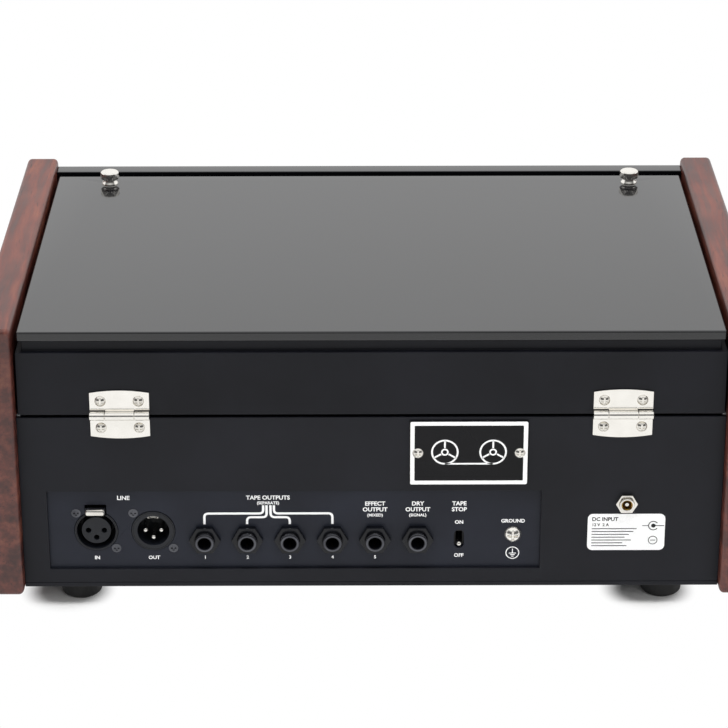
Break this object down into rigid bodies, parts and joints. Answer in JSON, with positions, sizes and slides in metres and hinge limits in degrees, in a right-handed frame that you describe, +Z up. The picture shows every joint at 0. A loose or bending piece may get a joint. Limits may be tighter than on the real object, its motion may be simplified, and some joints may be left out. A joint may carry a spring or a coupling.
{
  "type": "tape echo unit",
  "caption": "Tape echo unit with wooden cheeks, hinged lid over a tape loop and heads, sloping front controls and a rear connector panel.",
  "frame": {"origin": "under the middle of the unit, on the surface it stands on", "axes": "+X to the right seen from the front controls, +Y to the rear connector panel, +Z up"},
  "size_m": [0.386, 0.3, 0.1586],
  "materials": {
    "black_enamel": "satin powder coat",
    "red_wood": "oiled, rounded edges",
    "black_rubber": "matte",
    "smoked_acrylic": "polished",
    "badge_enamel": "gloss with a white line",
    "black_plastic": "moulded",
    "bright_nickel": "bright",
    "plated_steel": "zinc plated",
    "turned_brass": "turned",
    "clear_window": "clear",
    "cream_dial": "printed scale",
    "needle_black": "matte",
    "tape_film": "magnetic film",
    "red_lens": "translucent",
    "green_board": "solder mask"
  },
  "bodies": {
    "cabinet": {"bottom_plate": "black_enamel", "rear_panel": "black_enamel", "cheek_left": "red_wood", "cheek_right": "red_wood", "front_panel": "black_enamel", "front_rail": "black_enamel", "io_plate": "black_enamel", "rubber_feet": "black_rubber", "badge_plate": "badge_enamel", "xlr_socket_in": "black_plastic", "xlr_socket_out": "black_plastic", "xlr_insert": "black_plastic", "jack_sockets": "black_plastic", "jack_nuts": "black_plastic", "dc_socket": "bright_nickel", "dc_nut": "bright_nickel", "stop_switch_body": "black_plastic", "earth_terminal": "bright_nickel", "hinge_leaves_body": "bright_nickel", "body_screws": "bright_nickel", "deck_plate": "plated_steel", "head_bridge": "plated_steel", "tape_heads": "plated_steel", "tape_guides": "plated_steel", "tape_tray": "black_plastic", "tape_loop": "tape_film", "motor": "plated_steel", "drive_belt": "black_rubber", "solenoid": "plated_steel", "circuit_board": "green_board", "reverb_tank": "plated_steel", "meter_case": "black_plastic", "meter_dial": "cream_dial", "meter_window": "clear_window", "potentiometers": "plated_steel", "toggle_bushing": "bright_nickel", "pilot_lamp": "red_lens"},
    "lid": {"lid_frame": "black_enamel", "lid_panel": "smoked_acrylic", "hinge_leaves_lid": "bright_nickel", "lid_screws": "bright_nickel"},
    "thumbscrew_left": {"thumbscrew_left": "bright_nickel"},
    "thumbscrew_right": {"thumbscrew_right": "bright_nickel"},
    "knob_input": {"knob_input": "black_plastic"},
    "knob_bass": {"knob_bass": "black_plastic"},
    "knob_treble": {"knob_treble": "black_plastic"},
    "knob_rate": {"knob_rate": "black_plastic"},
    "knob_repeats": {"knob_repeats": "black_plastic"},
    "knob_echo": {"knob_echo": "black_plastic"},
    "knob_reverb": {"knob_reverb": "black_plastic"},
    "selector_knob": {"selector_knob": "black_plastic"},
    "power_toggle": {"power_toggle": "bright_nickel"},
    "meter_needle": {"meter_needle": "needle_black"},
    "xlr_latch": {"xlr_latch": "bright_nickel"},
    "stop_switch_lever": {"stop_switch_lever": "bright_nickel"},
    "capstan_flywheel": {"capstan_flywheel": "plated_steel"},
    "motor_pulley": {"motor_pulley": "turned_brass"},
    "pinch_roller": {"pinch_roller": "black_rubber"},
    "pinch_arm": {"pinch_arm": "plated_steel"},
    "solenoid_plunger": {"solenoid_plunger": "plated_steel"}
  },
  "joints": [
    {"name": "lid_hinge", "type": "hinge", "parent": "cabinet", "child": "lid", "pos_m": [0, 0.1446, 0.1078], "axis": [-1, 0, 0], "range_deg": [0, 100]},
    {"name": "thumbscrew_left_turn", "type": "hinge", "parent": "lid", "child": "thumbscrew_left", "pos_m": [-0.1445, -0.069, 0.1516], "axis": [0, 0, 1], "continuous": true},
    {"name": "thumbscrew_right_turn", "type": "hinge", "parent": "lid", "child": "thumbscrew_right", "pos_m": [0.1445, -0.069, 0.1516], "axis": [0, 0, 1], "continuous": true},
    {"name": "knob_input_turn", "type": "hinge", "parent": "cabinet", "child": "knob_input", "pos_m": [-0.092, -0.12924, 0.07201], "axis": [0, 0.9269, -0.3754], "range_deg": [-150, 150]},
    {"name": "knob_bass_turn", "type": "hinge", "parent": "cabinet", "child": "knob_bass", "pos_m": [0.008, -0.12924, 0.07201], "axis": [0, 0.9269, -0.3754], "range_deg": [-150, 150]},
    {"name": "knob_treble_turn", "type": "hinge", "parent": "cabinet", "child": "knob_treble", "pos_m": [0.054, -0.12924, 0.07201], "axis": [0, 0.9269, -0.3754], "range_deg": [-150, 150]},
    {"name": "knob_rate_turn", "type": "hinge", "parent": "cabinet", "child": "knob_rate", "pos_m": [0.008, -0.11047, 0.11836], "axis": [0, 0.9269, -0.3754], "range_deg": [-150, 150]},
    {"name": "knob_repeats_turn", "type": "hinge", "parent": "cabinet", "child": "knob_repeats", "pos_m": [0.054, -0.11047, 0.11836], "axis": [0, 0.9269, -0.3754], "range_deg": [-150, 150]},
    {"name": "knob_echo_turn", "type": "hinge", "parent": "cabinet", "child": "knob_echo", "pos_m": [0.1, -0.11047, 0.11836], "axis": [0, 0.9269, -0.3754], "range_deg": [-150, 150]},
    {"name": "knob_reverb_turn", "type": "hinge", "parent": "cabinet", "child": "knob_reverb", "pos_m": [0.146, -0.11047, 0.11836], "axis": [0, 0.9269, -0.3754], "range_deg": [-150, 150]},
    {"name": "selector_knob_turn", "type": "hinge", "parent": "cabinet", "child": "selector_knob", "pos_m": [-0.058, -0.11047, 0.11836], "axis": [0, 0.9269, -0.3754], "range_deg": [-75, 75]},
    {"name": "power_toggle_flip", "type": "hinge", "parent": "cabinet", "child": "power_toggle", "pos_m": [0.146, -0.13294, 0.07351], "axis": [1, 0, 0], "range_deg": [0, 22]},
    {"name": "meter_needle_swing", "type": "hinge", "parent": "cabinet", "child": "meter_needle", "pos_m": [-0.132, -0.11572, 0.10538], "axis": [0, 0.9269, -0.3754], "range_deg": [0, 76], "stiffness_Nm_per_rad": 0.002, "springref_deg": -5.73},
    {"name": "xlr_latch_press", "type": "slide", "parent": "cabinet", "child": "xlr_latch", "axis": [0, 0, -1], "range_m": [0, 0.0012], "stiffness_N_per_m": 400, "springref_m": -0.001},
    {"name": "stop_switch_flip", "type": "hinge", "parent": "cabinet", "child": "stop_switch_lever", "pos_m": [-0.0442, 0.131, 0.0368], "axis": [1, 0, 0], "range_deg": [0, 28]},
    {"name": "capstan_spin", "type": "hinge", "parent": "cabinet", "child": "capstan_flywheel", "pos_m": [0.078, -0.05545, 0.045], "axis": [0, 0, 1], "continuous": true},
    {"name": "motor_spin", "type": "hinge", "parent": "cabinet", "child": "motor_pulley", "pos_m": [0.01, -0.04, 0.045], "axis": [0, 0, 1], "continuous": true},
    {"name": "pinch_arm_swing", "type": "hinge", "parent": "cabinet", "child": "pinch_arm", "pos_m": [0.11, -0.025, 0.102], "axis": [0, 0, -1], "range_deg": [0, 12]},
    {"name": "pinch_roller_spin", "type": "hinge", "parent": "pinch_arm", "child": "pinch_roller", "pos_m": [0.078, -0.04255, 0.1185], "axis": [0, 0, 1], "continuous": true},
    {"name": "plunger_slide", "type": "slide", "parent": "cabinet", "child": "solenoid_plunger", "axis": [0, -1, 0], "range_m": [0, 0.0051]}
  ],
  "couplings": [
    {"joint": "motor_spin", "follows": "capstan_spin", "ratio": 4.6154},
    {"joint": "pinch_roller_spin", "follows": "capstan_spin", "ratio": -0.33333},
    {"joint": "plunger_slide", "follows": "pinch_arm_swing", "m_per_rad": 0.024}
  ]
}
